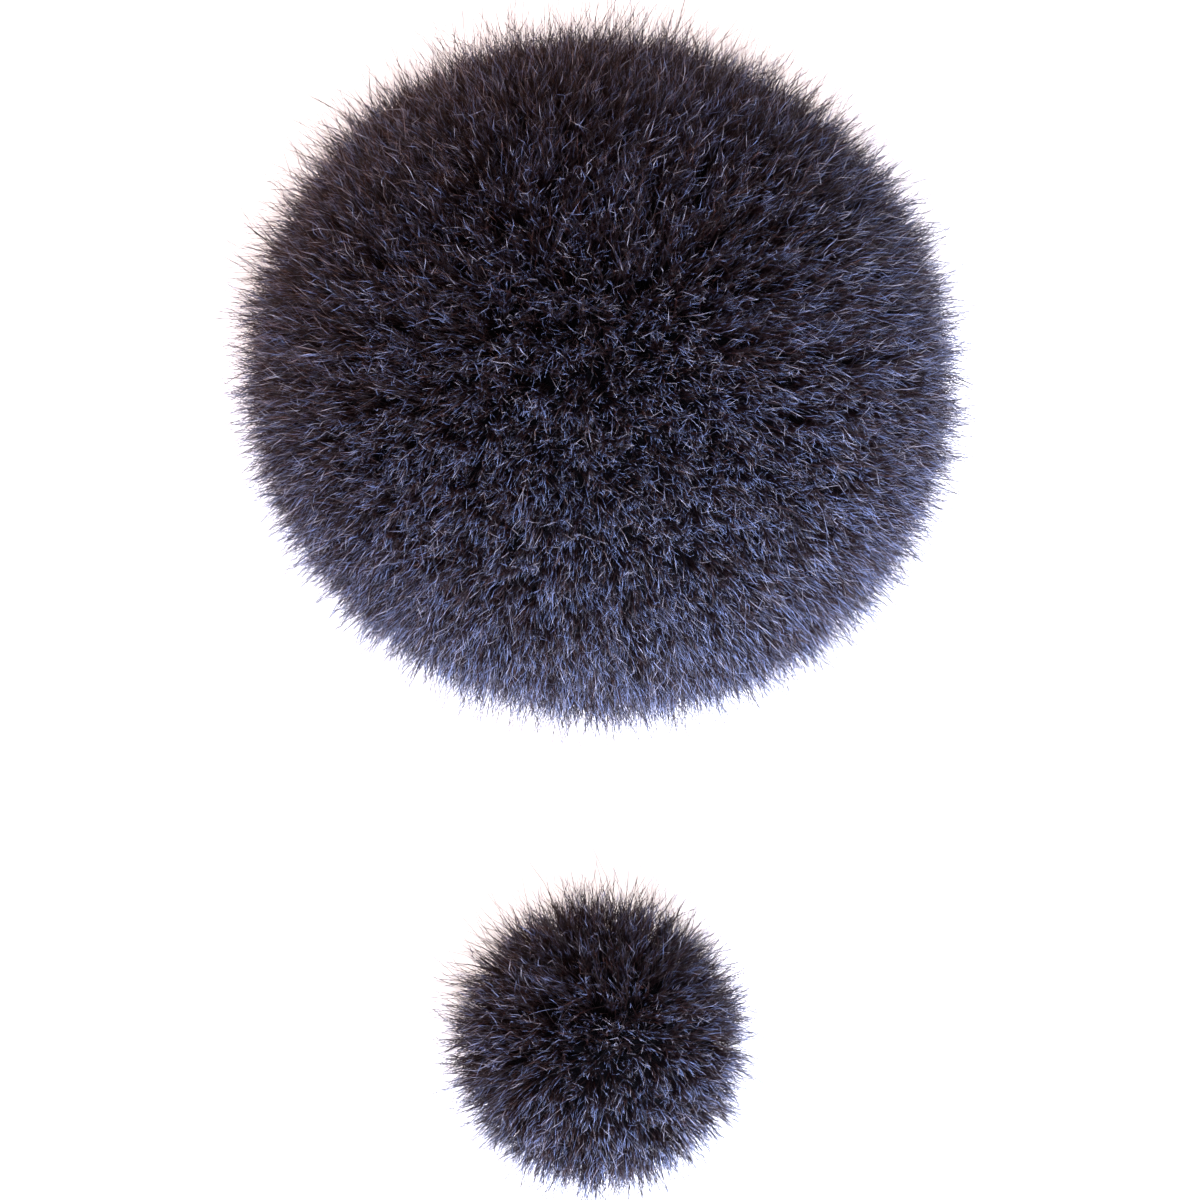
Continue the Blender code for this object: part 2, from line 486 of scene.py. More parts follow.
def spun_thread(trim):
    """Spun polyester thread: a lighter zigzag that shows how the hem is closed."""
    fibre = trim.thread_color
    return grained(
        "spun_polyester_thread", NOISE, 0.1 * MM, darker(fibre, 0.6), fibre,
        roughness=0.6, depth=0.02 * MM, specular=0.4,
    )


def braided_elastic(trim):
    """Rubber core braided over with polyester: dull black with small highlights."""
    braid = trim.elastic_color
    return grained(
        "braided_polyester_elastic", NOISE, 0.12 * MM, darker(braid, 0.5), braid,
        roughness=0.65, depth=0.02 * MM, specular=0.4,
    )


def open_cell_foam(trim):
    """Moulded open-cell polyurethane: charcoal struts around pores painted near black as shade."""
    struts = trim.foam_color
    return grained(
        # The pores, which are the dents, are painted near black: painted shade inside them.
        "moulded_open_cell_polyurethane", CELLS, 0.55 * MM, darker(struts, 0.12), struts,
        roughness=0.9, depth=0.35 * MM, specular=0.2,
    )


def moulded_rubber(trim):
    """Moulded thermoplastic rubber: matt, with a soft sheen along its rounded edges."""
    skin = trim.rubber_color
    return grained(
        "moulded_thermoplastic_rubber", NOISE, 0.25 * MM, darker(skin, 0.7), skin,
        roughness=0.55, depth=0.015 * MM, specular=0.4,
    )


def moulded_plastic(trim):
    """Moulded ABS from a spark-eroded mould: a fine even grain."""
    skin = trim.plastic_color
    return grained(
        "moulded_abs_plastic", NOISE, 0.15 * MM, darker(skin, 0.75), skin,
        roughness=0.45, depth=0.02 * MM, specular=0.5,
    )


# ------------------------ the covers


class Cover:
    """Sizes of one cover, read from its CAD pieces, and how its fur lies.

    nap_lean is the slant of all its hairs.  The ball is longer by out_of_round along
    long_way, an azimuth in degrees.  underfur_share is its underfur's depth, as a share
    of the fabric's.
    """

    def __init__(self, name, gores, nap_lean, out_of_round, long_way, underfur_share, seed):
        self.name = name
        self.gores = gores
        self.nap_lean = np.array(nap_lean)
        self.out_of_round = out_of_round
        self.long_way = math.radians(long_way)
        self.underfur_share = underfur_share
        self.seed = seed
        boxes = [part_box(f"{name}_fur_gore_{i + 1}") for i in range(gores)]
        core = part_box(f"{name}_foam_core")
        low = np.min([b[0] for b in boxes], 0)
        high = np.max([b[1] for b in boxes], 0)
        radius = (high[0] - low[0]) / 2
        self.inside = (core[1][0] - core[0][0]) / 2 + COVER_CLEARANCE
        self.centre = np.array([0.0, (core[0][1] + core[1][1]) / 2, high[2] - radius])
        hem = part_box(f"{name}_hem_binding")
        self.hem_outside = (hem[1][0] - hem[0][0]) / 2
        self.hem_top = hem[1][2]
        self.hem_seat = self.hem_outside + FIT_GAP

    def lowest(self, radius):
        """Polar angle at which a ball of that radius about the centre comes down to the foot."""
        return math.acos(max(-1.0, (COVER_FOOT - self.centre[2]) / radius))

    def underfur_radius(self, fur):
        """Radius of the matted ball that the hair stands on."""
        return self.inside + fur.backing + fur.underfur * self.underfur_share

    def clear_of_hem(self, points):
        """Points about the centre, with those below it kept outside of the hem."""
        fabric = 0.5 * MM
        reach = np.linalg.norm(points[..., :2], axis=-1, keepdims=True)
        below = points[..., 2:] < 0
        wider = np.where(below, np.maximum(reach, self.hem_seat + fabric), reach)
        stretch = wider / np.maximum(reach, 0.01 * MM)
        return points * np.concatenate([stretch, stretch, np.ones_like(stretch)], -1)

    def gore_of(self, normals):
        """Number of the gore that each normal points out of."""
        azimuth = np.arctan2(normals[:, 1], normals[:, 0]) % (2 * math.pi)
        return (azimuth * self.gores / (2 * math.pi)).astype(int) % self.gores


COVERS = [
    Cover("large", 4, nap_lean=(0.06, -0.03, 0.0), out_of_round=0.019, long_way=-14.0,
          underfur_share=1.0, seed=11),
    Cover("small", 2, nap_lean=(-0.06, -0.10, 0.0), out_of_round=0.0, long_way=0.0,
          underfur_share=1.13, seed=12),
]


def fabric_section(cover, fur, rows):
    """Section of a cover's fabric about its centre: (r, z) points down its outside, then up inside.

    The outside is a ball, kept clear of the hem.  The inside is a dome, then straight
    sides, then a step out over the hem.  Each has the same number of rows.
    """
    start = 0.004  # share of the way down at which the rows start, so none lies on the axis
    share = np.linspace(start, 1, rows)
    radius = cover.underfur_radius(fur)
    down = share * cover.lowest(radius)
    outer = np.stack([radius * np.sin(down), 0 * down, radius * np.cos(down)], -1)
    outer = cover.clear_of_hem(outer)[:, [0, 2]]

    bend = np.linspace(start, 1, 30) * math.pi / 2
    ceiling = cover.hem_top + FIT_GAP - cover.centre[2]
    foot = COVER_FOOT - cover.centre[2]
    corners = np.array([
        *zip(cover.inside * np.sin(bend), cover.inside * np.cos(bend)),
        (cover.inside, ceiling),
        (cover.hem_seat, ceiling),
        (cover.hem_seat, foot),
    ])
    run = np.concatenate([[0], np.cumsum(np.linalg.norm(np.diff(corners, axis=0), axis=1))])
    inner = np.stack([np.interp(share * run[-1], run, corners[:, k]) for k in (0, 1)], -1)
    return np.concatenate([outer, inner[::-1]])


def fabric_mesh(cover, fur, gore, random):
    """One gore's fabric: its section turned through the gore's share of the circle.

    The outer face's radius waves by a tenth of a millimetre or two.  Returns points,
    triangles and each triangle's material: 0 the underfur, 1 the backing.
    """
    rows, columns = 64, 30
    half_seam, lump = 0.01 * MM, 0.18 * MM
    section = fabric_section(cover, fur, rows)
    share = 2 * math.pi / cover.gores
    trim = np.minimum(half_seam / np.maximum(section[:, :1], 0.3 * MM), 0.2)
    azimuth = gore * share + trim + np.linspace(0, 1, columns) * (share - 2 * trim)
    points = polar(section[:, :1], azimuth, section[:, 1:])
    lumps = WaveField(random, 1.4 * MM, waves=30)(points[:rows])[..., 0:1]
    points[:rows] += unit(points[:rows]) * lump * lumps

    skin = grid_quads(2 * rows, columns, True, False)
    here = np.arange(rows - 1)
    across = 2 * rows - 1 - here
    edge = np.stack([here, here + 1, across - 1, across], -1) * columns
    quads = np.concatenate([skin, edge, edge[:, ::-1] + columns - 1])
    row = np.concatenate([skin[:, 0] // columns, np.zeros(2 * len(edge), int)])
    return (
        points.reshape(-1, 3) + cover.centre,
        quads_to_triangles(quads)[:, ::-1],
        np.repeat(row >= rows, 2),
    )


# ------------------------ the hair


ROOT_DEPTH = 0.4 * MM  # of the hairs' roots in the underfur
FUR_DRIFTS = ((0.05, 18 * MM), (0.05, 5 * MM))  # slant and wavelength of the fur's lie
TUFT_SLANT = 0.20  # random slant of a tuft, as a share of its length
TUFT_VARIETY = 0.20  # random share by which a tuft is longer or shorter
TUFT_SPREAD = 0.64  # radius of the disc that a tuft's roots fill, in spacings
TUFT_GATHER = (0.85, 1.1)  # shares of its offset by which a hair closes in on its tuft
HAIR_SLANT = 0.13  # random slant of one hair
FINEST, THICKEST = 0.7, 1.15  # shares of the hair width
MOST_TRIANGLES = 190000  # in one piece


class HairKind(NamedTuple):
    """How the hairs of one kind grow in the tufts."""

    name: str
    reach: tuple  # shortest and longest, as shares of the tuft's length
    swing: float  # size of its waves
    steps: tuple  # where its points lie, from root (0) to tip (1)
    width: float  # share of the hair width
    dye: float  # middle of its dyes, from brown (0) to pale (1)
    palest: float  # palest of its dyes


PILE = HairKind("pile", (0.62, 1.0), 0.20 * MM, (0.0, 0.6, 1.0), width=1.0, dye=0.54, palest=0.8)
GUARD_HAIR = HairKind(
    "guard_hair", (0.72, 1.55), 0.42 * MM, (0.0, 0.35, 0.6, 0.82, 1.0),
    width=0.85, dye=0.62, palest=1.0,
)
DYE_BY_TUFT, DYE_BY_HAIR = 0.26, 0.22  # how far the dye strays from its kind's middle

STRAY_SPACING = 1.6 * MM
STRAY_REACH = (1.1, 1.8)  # shares of the hair length
STRAY_TURNS = (0.7, 1.6)  # waves along one hair
STRAY_SWING = (0.12, 0.42)  # size of the waves, in millimetres
STRAY_SLANT = 0.24
STRAY_STEPS = (0.0, 0.2, 0.38, 0.55, 0.72, 0.87, 1.0)
STRAY_WIDTH = 0.85
STRAY_DYE = 0.4  # under 1, so that most strays are either brown or pale


class Hairs(NamedTuple):
    """Hairs of one kind over a whole cover: paths are (hairs, steps, 3), from root to tip."""

    name: str
    steps: tuple
    width: float
    paths: np.ndarray
    normals: np.ndarray
    dye: np.ndarray


def plant(cover, fur, spacing, random):
    """Places and normals of roots, about one spacing apart.

    They stand on a spiral that gives each the same area of the ball, each moved a
    random third of the spacing.
    """
    moved = 0.3
    radius = cover.underfur_radius(fur) - ROOT_DEPTH
    lowest = math.cos(cover.lowest(radius))
    roots = int(2 * math.pi * radius**2 * (1 - lowest) / spacing**2)
    step = np.arange(roots) + 0.5
    height = 1 - (1 - lowest) * step / roots
    turn = step * math.pi * (3 - math.sqrt(5))
    width = np.sqrt(1 - height**2)
    normal = polar(width, turn, height)
    normal = unit(normal + random.normal(size=normal.shape) * moved * spacing / radius)
    return cover.clear_of_hem(normal * radius), normal


class Tufts:
    """Places, lie and length of one cover's tufts, which its hairs share."""

    def __init__(self, cover, fur, random):
        self.fur = fur
        self.place, self.normal = plant(cover, fur, fur.tuft_spacing, random)
        lie = np.zeros_like(self.place)
        for slant, wavelength in FUR_DRIFTS:
            lie += slant * WaveField(random, wavelength)(self.place)
        lie += TUFT_SLANT * random.normal(size=lie.shape)
        lie += cover.nap_lean - lie.mean(0)
        self.lie = lie - (lie * self.normal).sum(-1, keepdims=True) * self.normal
        varied = 1 + TUFT_VARIETY * random.normal(size=(len(self.place), 1))
        self.length = fur.hair * varied

    def hairs(self, kind, count, random):
        """Grow a number of hairs of one kind in each tuft, and dye them."""
        paths = self.paths(kind, count, random)
        by_tuft = DYE_BY_TUFT * random.normal(size=(len(self.place), 1))
        by_hair = DYE_BY_HAIR * random.normal(size=(len(self.place), count))
        return Hairs(
            name=kind.name,
            steps=kind.steps,
            width=kind.width * self.fur.hair_width,
            paths=paths.reshape(-1, len(kind.steps), 3),
            normals=np.repeat(self.normal, count, 0),
            dye=np.clip(kind.dye + by_tuft + by_hair, 0.0, kind.palest).ravel(),
        )

    def paths(self, kind, count, random):
        """Paths of hairs, (tufts, count, steps, 3).

        A hair starts within its tuft's disc.  At share s of its length it has run s along
        the normal and s^1.5 along its lean, has closed in on the tuft by s^1.2, and swings
        by two sines, of 0.85 and 1.55 turns in all, that grow with s.
        """
        shape = (len(self.place), count)
        across, along = tangents(self.normal)
        spread = TUFT_SPREAD * self.fur.tuft_spacing * np.sqrt(random.uniform(size=shape))
        around = random.uniform(0, 2 * math.pi, shape)
        offset = spread[..., None] * (
            np.cos(around)[..., None] * across[:, None]
            + np.sin(around)[..., None] * along[:, None]
        )
        lean = self.lie[:, None] + HAIR_SLANT * random.normal(size=(*shape, 3))
        gather = random.uniform(*TUFT_GATHER, shape)[..., None]
        swing = kind.swing * random.normal(size=(2, *shape, 3))
        shortest, longest = kind.reach
        share = shortest + (longest - shortest) * random.uniform(size=shape) ** 1.6
        tall = (self.length * share)[..., None]
        root = self.place[:, None] + offset
        paths = []
        for s in kind.steps:
            straight = s * self.normal[:, None] + lean * s**1.5
            wave = swing[0] * math.sin(1.7 * math.pi * s) + swing[1] * math.sin(3.1 * math.pi * s)
            paths.append(root + tall * straight - offset * gather * s**1.2 + wave * s)
        return np.stack(paths, 2)


def stray_hairs(cover, fur, random):
    """Long hairs that stand out of the pile.

    At share s a hair has run s along the normal and s^1.6 along its lean, and swings
    across both by sines that grow with s.
    """
    place, normal = plant(cover, fur, STRAY_SPACING, random)
    each = (len(place), 1)
    lean = STRAY_SLANT * random.normal(size=place.shape) + cover.nap_lean
    reach = fur.hair * random.uniform(*STRAY_REACH, each)
    across, along = tangents(normal)
    phase = random.uniform(0, 2 * math.pi, (2, *each))
    turns = random.uniform(*STRAY_TURNS, each)
    swing = random.uniform(*STRAY_SWING, each) * MM
    paths = []
    for s in STRAY_STEPS:
        angle = 2 * math.pi * turns * s
        wave = np.sin(angle + phase[0]) * across + np.sin(angle + phase[1]) * along
        paths.append(place + reach * (s * normal + lean * s**1.6) + swing * wave * s * 1.5)
    return Hairs(
        name="stray_hair",
        steps=STRAY_STEPS,
        width=STRAY_WIDTH * fur.hair_width,
        paths=np.stack(paths, 1),
        normals=normal,
        dye=random.beta(STRAY_DYE, STRAY_DYE, len(paths[0])),
    )


def settle(paths, cover):
    """Place hairs about the cover's axis: out of round, and lying down where they meet the floor.

    A point below the lying height is lifted to between it and the floor height: the
    deeper it was, the nearer to the floor, by an exponential.
    """
    turn = np.array([math.cos(cover.long_way), math.sin(cover.long_way), 0.0])
    across = np.array([-turn[1], turn[0], 0.0])
    stretched = (
        paths
        + (paths @ turn)[..., None] * turn * cover.out_of_round
        - (paths @ across)[..., None] * across * cover.out_of_round
    )
    placed = stretched + cover.centre
    floor, lying, give = 0.1 * MM, 0.3 * MM, 2.0 * MM
    height = placed[..., 2]
    pressed = floor + (lying - floor) * np.exp(np.minimum(height - lying, 0) / give)
    placed[..., 2] = np.where(height < lying, pressed, height)
    return placed


def spindle_faces(rings):
    """Triangles of one three-sided hair: a root point, its rings of three corners, a tip point."""
    tip = 3 * rings + 1
    faces = []
    for corner in range(3):
        after = (corner + 1) % 3
        faces.append((0, 1 + after, 1 + corner))
        for ring in range(1, tip - 3, 3):
            faces.append((ring + corner, ring + after, ring + 3 + after))
            faces.append((ring + corner, ring + 3 + after, ring + 3 + corner))
        faces.append((tip - 3 + corner, tip - 3 + after, tip))
    return np.array(faces)


def spindles(paths, steps, width, dye, random):
    """Closed three-sided hairs along paths (hairs, steps, 3).

    A hair tapers from 1.15 of its width near the root to 0.4 near the tip, and closes to
    a point at both ends.  Returns points, triangles and places on the map: u along the
    hair and v its dye, a sliver wide, so that each face has an area there.
    """
    margin, sliver = 0.02, 0.006
    hairs, levels = paths.shape[:2]
    radius = width / 2 * random.uniform(FINEST, THICKEST, (hairs, 1))
    spin = random.uniform(0, 2 * math.pi, hairs)
    corners = [paths[:, 0]]
    along = [steps[0]]
    for level in range(1, levels - 1):
        taper = 1.15 - 0.75 * steps[level]
        side, other = tangents(unit(paths[:, level + 1] - paths[:, level - 1]))
        for corner in range(3):
            angle = spin + corner * 2 * math.pi / 3
            out = side * np.cos(angle)[:, None] + other * np.sin(angle)[:, None]
            corners.append(paths[:, level] + out * radius * taper)
            along.append(steps[level])
    points = np.stack([*corners, paths[:, -1]], 1)
    each = points.shape[1]
    triangles = np.arange(hairs)[:, None, None] * each + spindle_faces(levels - 2)
    u = margin + (1 - 2 * margin) * np.array([*along, steps[-1]])
    v = np.clip(dye, 0.01, 0.99)[:, None] + sliver * (np.arange(each) % 3 - 1.0)
    uv = np.stack([np.broadcast_to(u, v.shape), v], -1)
    return points.reshape(-1, 3), triangles.reshape(-1, 3), uv.reshape(-1, 2)


def in_bands(normals, triangles_each):
    """Share hairs out by height into bands that keep each piece small enough."""
    bands = math.ceil(len(normals) * triangles_each / MOST_TRIANGLES)
    rank = np.argsort(np.argsort(-normals[:, 2]))
    return rank * bands // max(1, len(normals))


class WINDSCREEN_OT_covers(bpy.types.Operator):
    """Sew both covers' gores and grow their pile"""

    bl_idname = "windscreen.covers"
    bl_label = "Fur covers"

    def execute(self, context):
        fur = context.scene.windscreen_fur
        pile = acrylic_pile(fur)
        fabric = [matted_underfur(fur), knitted_backing(fur)]
        for cover in COVERS:
            random = np.random.default_rng(cover.seed)
            self.sew(cover, fur, fabric, random)
            tufts = Tufts(cover, fur, random)
            self.share_out(cover, tufts.hairs(PILE, fur.hairs_per_tuft, random), pile)
            self.share_out(cover, tufts.hairs(GUARD_HAIR, fur.guards_per_tuft, random), pile)
            self.share_out(cover, stray_hairs(cover, fur, random), pile)
        return {"FINISHED"}

    def sew(self, cover, fur, materials, random):
        """Make the fabric of each gore."""
        for gore in range(cover.gores):
            node = f"{cover.name}_fur_gore_{gore + 1}"
            points, triangles, material_of = fabric_mesh(cover, fur, gore, random)
            fabric = mesh_object(
                f"{node}_fabric", points, triangles, materials, material_of=material_of
            )
            finish_piece(fabric, f"{cover.name}_cover", node)

    def share_out(self, cover, hairs, material):
        """Make pieces of the hairs of one kind: those of each gore, in bands by height."""
        random = np.random.default_rng(cover.seed)
        paths = settle(hairs.paths, cover)
        triangles_each = len(spindle_faces(len(hairs.steps) - 2))
        for gore in range(cover.gores):
            mine = np.flatnonzero(cover.gore_of(hairs.normals) == gore)
            band = in_bands(hairs.normals[mine], triangles_each)
            for number in range(band.max() + 1):
                chosen = mine[band == number]
                points, triangles, uv = spindles(
                    paths[chosen], hairs.steps, hairs.width, hairs.dye[chosen], random
                )
                name = f"{cover.name}_fur_gore_{gore + 1}_{hairs.name}_{number + 1}"
                piece = mesh_object(name, points, triangles, [material], uv)
                finish_piece(piece, f"{cover.name}_cover")


# ------------------------ hems, foam and fittings


class Fit:
    """Sizes of one core's fittings, read from the CAD pieces but for what they hide."""

    def __init__(self, name, wall, lip_reach, lip_height, bore_depth):
        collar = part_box(f"{name}_grip_collar")
        self.collar_outside = (collar[1][0] - collar[0][0]) / 2
        self.collar_height = collar[1][2]
        self.bore = self.collar_outside - wall
        self.lip = self.bore - lip_reach
        self.lip_height = lip_height
        self.bore_depth = bore_depth
        self.ring_outside = 0.0
        self.ring_height = 0.0
        ring = f"{name}_mouth_ring"
        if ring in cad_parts:
            low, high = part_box(ring)
            self.ring_outside = (high[0] - low[0]) / 2
            self.ring_height = high[2]


FITS = [
    Fit("large", wall=2.4 * MM, lip_reach=1.4 * MM, lip_height=1.3 * MM, bore_depth=31 * MM),
    Fit("small", wall=1.1 * MM, lip_reach=0.4 * MM, lip_height=0.8 * MM, bore_depth=9 * MM),
]


def about(cover, points):
    """Points moved from the origin to the cover's axis."""
    return points + [0.0, cover.centre[1], 0.0]


def place_turned(cover, body, part, finish, surface, material):
    """Put a turned surface on the cover's axis, to stand for the CAD node of that part."""
    points, triangles = surface
    node = f"{cover.name}_{part}"
    piece = mesh_object(f"{node}_{finish}", about(cover, points), triangles, [material])
    finish_piece(piece, f"{cover.name}_{body}", node)
    return piece


class WINDSCREEN_OT_hems(bpy.types.Operator):
    """Bind both mouths with tape, lay the elastic in it and stitch it shut"""

    bl_idname = "windscreen.hems"
    bl_label = "Hems"

    def execute(self, context):
        trim = context.scene.windscreen_trim
        tape, elastic, thread = woven_tape(trim), braided_elastic(trim), spun_thread(trim)
        for cover in COVERS:
            self.bind(cover, trim, tape)
            self.lay_elastic(cover, elastic)
            self.stitch(cover, trim, thread)
        return {"FINISHED"}

    def bind(self, cover, trim, material):
        """The tape, folded to a channel open upwards, with fine ribs and soft gathers.

        Its relief is a cosine for the ribs plus a slow sine for the gathers, which pushes
        the inner and the outer wall the same way.
        """
        slack, wall = 0.12 * MM, 0.38 * MM
        rib, gather = 0.025 * MM, 0.045 * MM
        inner, outer = cover.inside + slack, cover.hem_outside - slack
        foot, top = COVER_FOOT, cover.hem_top - slack
        outline = rounded(
            [(inner, foot), (outer, foot), (outer, top), (outer - wall, top),
             (outer - wall, foot + wall), (inner + wall, foot + wall), (inner + wall, top),
             (inner, top)],
            corner=0.18 * MM, step=0.5 * MM, closed=True,
        )
        girth = 2 * math.pi * outer
        ribs, gathers = whole(girth, 0.7 * MM), whole(girth, trim.gather)

        def relief(angle, run, radius, height):
            wave = gather * np.sin(gathers * angle + 1.7 * np.sin(3 * angle))
            side = np.where(radius > (inner + outer) / 2, 1.0, -1.0)
            return rib * np.cos(ribs * angle) + wave * side

        surface = turned(outline, ribs * 4, closed=True, relief=relief)
        place_turned(cover, "cover", "hem_binding", "tape", surface, material)

    def lay_elastic(self, cover, material):
        """A round elastic, whose braid crosses over itself: the product of two slanted sines."""
        radius, height, sides = 0.27 * MM, 1.1 * MM, 10
        strand, braid = 1.1 * MM, 0.025 * MM
        middle = (cover.inside + cover.hem_outside) / 2
        around = np.arange(sides) * 2 * math.pi / sides
        outline = np.stack([middle + radius * np.cos(around), height + radius * np.sin(around)], -1)
        strands = whole(2 * math.pi * middle, strand)

        def relief(angle, run, reach, level):
            twist = 2 * run / radius
            return braid * np.sin(strands * angle + twist) * np.sin(strands * angle - twist)

        surface = turned(outline, strands * 6, closed=True, relief=relief)
        place_turned(cover, "cover", "hem_elastic", "braid", surface, material)

    def stitch(self, cover, trim, material):
        """A zigzag seam along the underside of the tape.

        Its radius swings as the arcsine of a sine, a triangle wave with soft turns, and it
        rises into the tape at each turn.
        """
        each = 20  # points of one stitch
        middle = (cover.inside + cover.hem_outside) / 2
        reach = 0.3 * (cover.hem_outside - cover.inside)
        stitches = whole(2 * math.pi * middle, trim.stitch)
        angle = np.arange(stitches * each) * 2 * math.pi / (stitches * each)
        swing = np.arcsin(0.97 * np.sin(stitches * angle)) * 2 / math.pi
        radius = middle + reach * swing
        height = COVER_FOOT - 0.4 * trim.thread + 0.12 * MM * np.abs(swing) ** 6
        path = about(cover, polar(radius, angle, height))
        points, triangles = thread_along(path, trim.thread / 2)
        piece = mesh_object(f"{cover.name}_hem_stitches", points, triangles, [material])
        finish_piece(piece, f"{cover.name}_cover")


class WINDSCREEN_OT_cores(bpy.types.Operator):
    """Mould both foam cores"""

    bl_idname = "windscreen.cores"
    bl_label = "Foam cores"

    def execute(self, context):
        foam = open_cell_foam(context.scene.windscreen_trim)
        for cover, fit in zip(COVERS, FITS):
            self.mould(cover, fit, foam)
        return {"FINISHED"}

    def mould(self, cover, fit, material):
        """A dome on straight sides, with a blind bore and a stepped mouth.

        Its relief is a random field of waves, cut off at the surface, so it only dents.
        """
        dent, cell = 0.05 * MM, 0.75 * MM
        side = cover.inside - COVER_CLEARANCE
        shoulder = cover.centre[2]
        bend = np.linspace(math.pi / 2, 0, 14)[:-1]
        dome = list(zip(side * np.sin(bend), shoulder + side * np.cos(bend)))
        seat, shelf = fit.collar_outside + FIT_GAP, fit.collar_height + FIT_GAP
        mouth = [(seat, CORE_FOOT)]
        if fit.ring_outside:
            ledge, wide = fit.ring_height + FIT_GAP, fit.ring_outside + FIT_GAP
            mouth = [(seat, ledge), (wide, ledge), (wide, CORE_FOOT)]
        outline = rounded(
            [(0.0, fit.bore_depth), (fit.bore, fit.bore_depth), (fit.bore, shelf), (seat, shelf),
             *mouth, (side, CORE_FOOT), *dome, (0.0, shoulder + side)],
            corner=0.5 * MM, step=cell, closed=False,
        )
        field = WaveField(np.random.default_rng(cover.seed), 2.4 * MM, waves=40)

        def relief(angle, run, radius, height):
            wave = field(polar(radius, angle, height))[..., 0]
            return np.minimum(dent * (wave - 1.5), 0)

        around = whole(2 * math.pi * side, cell)
        surface = turned(outline, around, closed=False, relief=relief)
        piece = place_turned(cover, "core", "foam_core", "cells", surface, material)


class WINDSCREEN_OT_fittings(bpy.types.Operator):
    """Mould the grip collars and the mouth ring"""

    bl_idname = "windscreen.fittings"
    bl_label = "Collars and ring"

    def execute(self, context):
        trim = context.scene.windscreen_trim
        rubber, plastic = moulded_rubber(trim), moulded_plastic(trim)
        for cover, fit in zip(COVERS, FITS):
            self.mould_collar(cover, fit, rubber)
            if fit.ring_outside:
                self.mould_ring(cover, fit, plastic)
        return {"FINISHED"}

    def mould_collar(self, cover, fit, material):
        """A ring with an inward lip, and flutes that deepen as a cosine where it grips."""
        flute, pitch = 0.07 * MM, 1.6 * MM
        bore, lip = fit.bore, fit.lip
        slope = fit.lip_height + (bore - lip) / 2
        outline = rounded(
            [(lip, CORE_FOOT), (fit.collar_outside, CORE_FOOT),
             (fit.collar_outside, fit.collar_height), (bore, fit.collar_height), (bore, slope),
             (lip, fit.lip_height)],
            corner=0.35 * MM, step=1.0 * MM, closed=True,
        )
        flutes = whole(2 * math.pi * lip, pitch)

        def relief(angle, run, radius, height):
            at_lip = np.clip((bore - radius) / (bore - lip), 0, 1)
            return -flute * at_lip * (1 + np.cos(flutes * angle))

        surface = turned(outline, flutes * 8, closed=True, relief=relief)
        place_turned(cover, "core", "grip_collar", "moulding", surface, material)

    def mould_ring(self, cover, fit, material):
        """A flat ring with a groove, shaped as a bell curve, around its underside."""
        groove = 0.3 * MM  # depth and half width
        inner = fit.collar_outside + FIT_GAP
        outline = rounded(
            [(inner, CORE_FOOT), (fit.ring_outside, CORE_FOOT),
             (fit.ring_outside, fit.ring_height), (inner, fit.ring_height)],
            corner=0.4 * MM, step=0.3 * MM, closed=True,
        )
        middle = (inner + fit.ring_outside) / 2

        def relief(angle, run, radius, height):
            bell = np.exp(-(((radius - middle) / groove) ** 2))
            return -groove * bell * (height < 0.5 * fit.ring_height)

        surface = turned(outline, around=180, closed=True, relief=relief)
        place_turned(cover, "core", "mouth_ring", "moulding", surface, material)


# ------------------------ the stage


LIGHTS = {  # place, size and tone
    "key": ((0.16, -0.40, 0.30), 0.3, "cedeff"),
    "fill": ((-0.2, 0.3, 0.6), 0.5, "ffe5e7"),
    "rim": ((-0.35, 0.30, 0.06), 0.2, "ffb37c"),
}
HORIZON, OVERHEAD = "cbc7c7", "8e8a9a"
FLOOR_REACH = 3.0
AIM = (0.0, 0.0, 0.02)  # what the lights face
VIEW_WIDTH = 120 * MM  # what the camera takes in, at the height of that aim
VIEW_MIDDLE = 1.5 * MM  # along Y


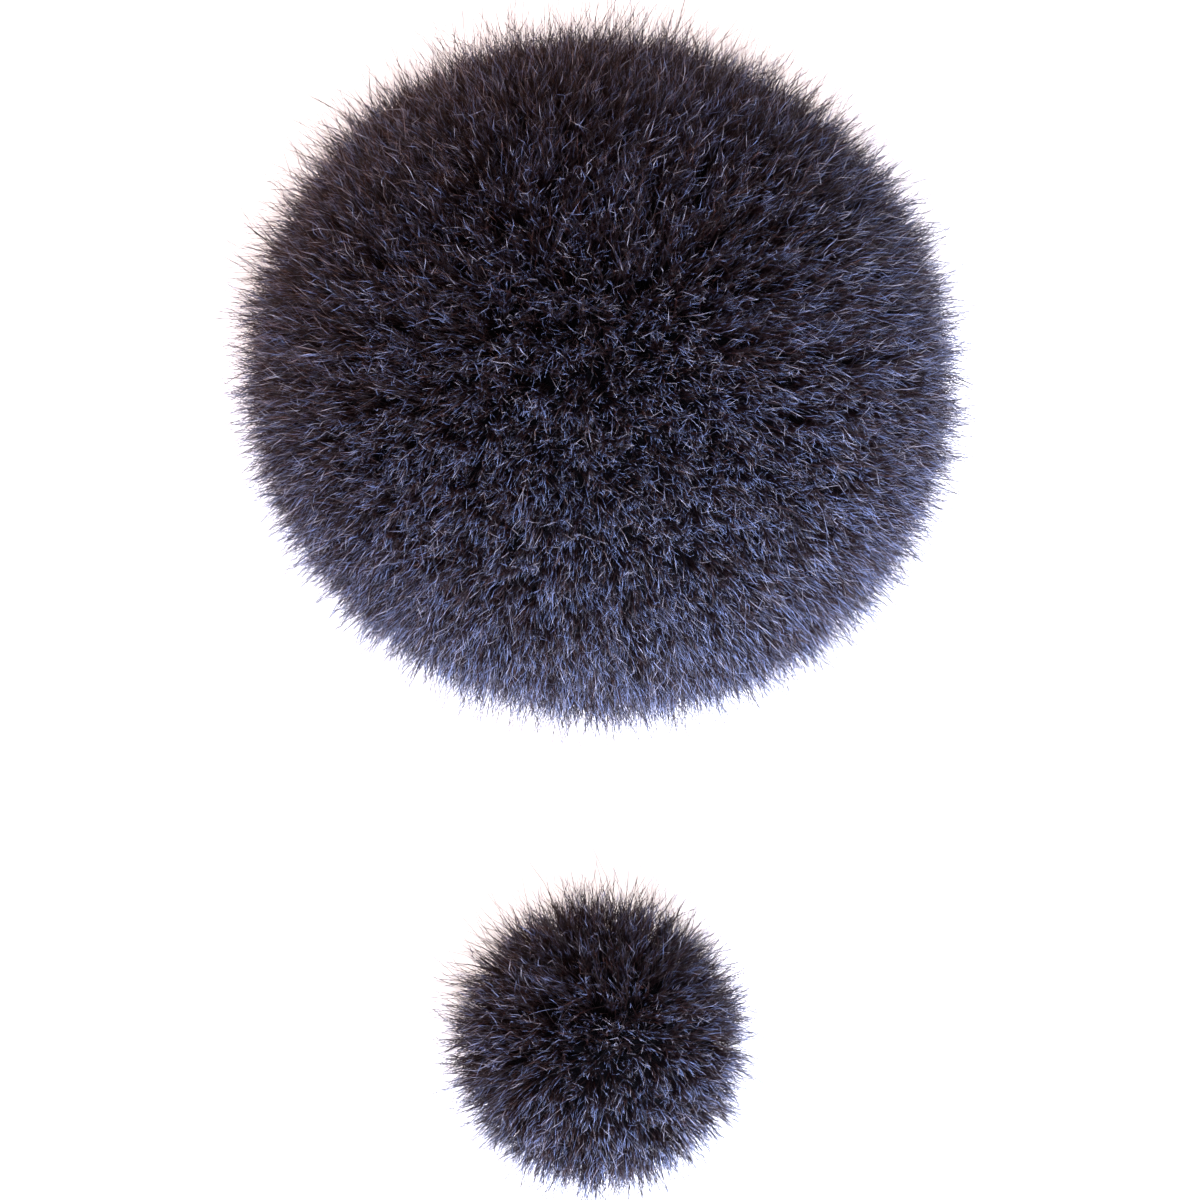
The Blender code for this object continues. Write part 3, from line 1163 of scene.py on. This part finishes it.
class WINDSCREEN_OT_stage(bpy.types.Operator):
    """Lay the pale floor, light it softly and hang the camera above"""

    bl_idname = "windscreen.stage"
    bl_label = "Stage"

    def execute(self, context):
        stage = context.scene.windscreen_stage
        self.lay_floor(stage)
        self.hang_sky(context)
        for name, (place, size, tone) in LIGHTS.items():
            self.hang_light(context, name, place, size, getattr(stage, f"{name}_power"), tone)
        self.hang_camera(context, stage)
        context.scene.view_settings.view_transform = "Standard"
        return {"FINISHED"}

    def lay_floor(self, stage):
        """A wide sheet of opal acrylic, lit from below like a light table."""
        material, tree, shader = new_material("opal_acrylic_light_table")
        plug(tree, shader, {
            "Base Color": opaque(linear("f4f4f6")),
            "Roughness": 0.8,
            "Specular IOR Level": 0.1,
            "Emission Color": opaque(linear("fff1ec")),
            "Emission Strength": stage.floor_glow,
        })
        corners = FLOOR_REACH * np.array([(-1, -1, 0), (1, -1, 0), (1, 1, 0), (-1, 1, 0)])
        triangles = np.array([[0, 1, 2], [0, 2, 3]])
        mesh_object("floor", corners, triangles, [material])

    def hang_sky(self, context):
        """A studio that is pale near the floor and dim overhead."""
        world = bpy.data.worlds.new("studio")
        world.use_nodes = True
        tree = world.node_tree
        place = add_node(tree, "ShaderNodeTexCoord")
        parts = add_node(tree, "ShaderNodeSeparateXYZ", {"Vector": place.outputs["Generated"]})
        tones = [(0.0, linear(HORIZON)), (0.35, linear(OVERHEAD))]
        sky = add_node(tree, "ShaderNodeValToRGB", {"Fac": parts.outputs["Z"]}, tones)
        plug(tree, tree.nodes["Background"], {"Color": sky.outputs["Color"], "Strength": 1.0})
        context.scene.world = world

    def hang_light(self, context, name, place, size, watts, tone):
        """A square softbox at a place, turned to face the pair."""
        data = bpy.data.lights.new(name, "AREA")
        data.shape = "SQUARE"
        data.size = size
        data.energy = watts
        data.color = linear(tone)
        light = bpy.data.objects.new(name, data)
        light.location = place
        light.rotation_euler = (Vector(AIM) - Vector(place)).to_track_quat("-Z", "Y").to_euler()
        context.scene.collection.objects.link(light)

    def hang_camera(self, context, stage):
        """A long lens, straight above the middle of the pair."""
        data = bpy.data.cameras.new("camera")
        data.lens = stage.lens
        camera = bpy.data.objects.new("camera", data)
        height = VIEW_WIDTH * data.lens / data.sensor_width
        camera.location = (0.0, VIEW_MIDDLE, AIM[2] + height)
        context.scene.collection.objects.link(camera)
        context.scene.camera = camera


# ------------------------ add-on


class WINDSCREEN_PT_panel(bpy.types.Panel):
    """Lists the windscreens' settings and parts"""

    bl_idname = "WINDSCREEN_PT_panel"
    bl_label = "Furry windscreens"
    bl_space_type = "VIEW_3D"
    bl_region_type = "UI"
    bl_category = "Windscreens"

    def draw(self, context):
        for place in GROUPS:
            group = getattr(context.scene, place)
            box = self.layout.box()
            for name in group.__annotations__:
                box.prop(group, name)
        for operator in OPERATORS:
            self.layout.operator(operator.bl_idname)


GROUPS = {
    "windscreen_fur": FurSettings,
    "windscreen_trim": TrimSettings,
    "windscreen_stage": StageSettings,
}
OPERATORS = [
    WINDSCREEN_OT_covers,
    WINDSCREEN_OT_hems,
    WINDSCREEN_OT_cores,
    WINDSCREEN_OT_fittings,
    WINDSCREEN_OT_stage,
]


def register():
    """Register the classes and hang the settings on the scene."""
    for group in GROUPS.values():
        bpy.utils.register_class(group)
    for name, group in GROUPS.items():
        setattr(bpy.types.Scene, name, bpy.props.PointerProperty(type=group))
    for operator in [*OPERATORS, WINDSCREEN_PT_panel]:
        bpy.utils.register_class(operator)


def unregister():
    """Undo register."""
    for operator in [WINDSCREEN_PT_panel, *OPERATORS[::-1]]:
        bpy.utils.unregister_class(operator)
    for name, group in GROUPS.items():
        delattr(bpy.types.Scene, name)
        bpy.utils.unregister_class(group)


def main():
    """Build every piece in order."""
    register()
    bpy.ops.windscreen.covers()
    bpy.ops.windscreen.hems()
    bpy.ops.windscreen.cores()
    bpy.ops.windscreen.fittings()
    bpy.ops.windscreen.stage()


if __name__ == "__main__":
    main()
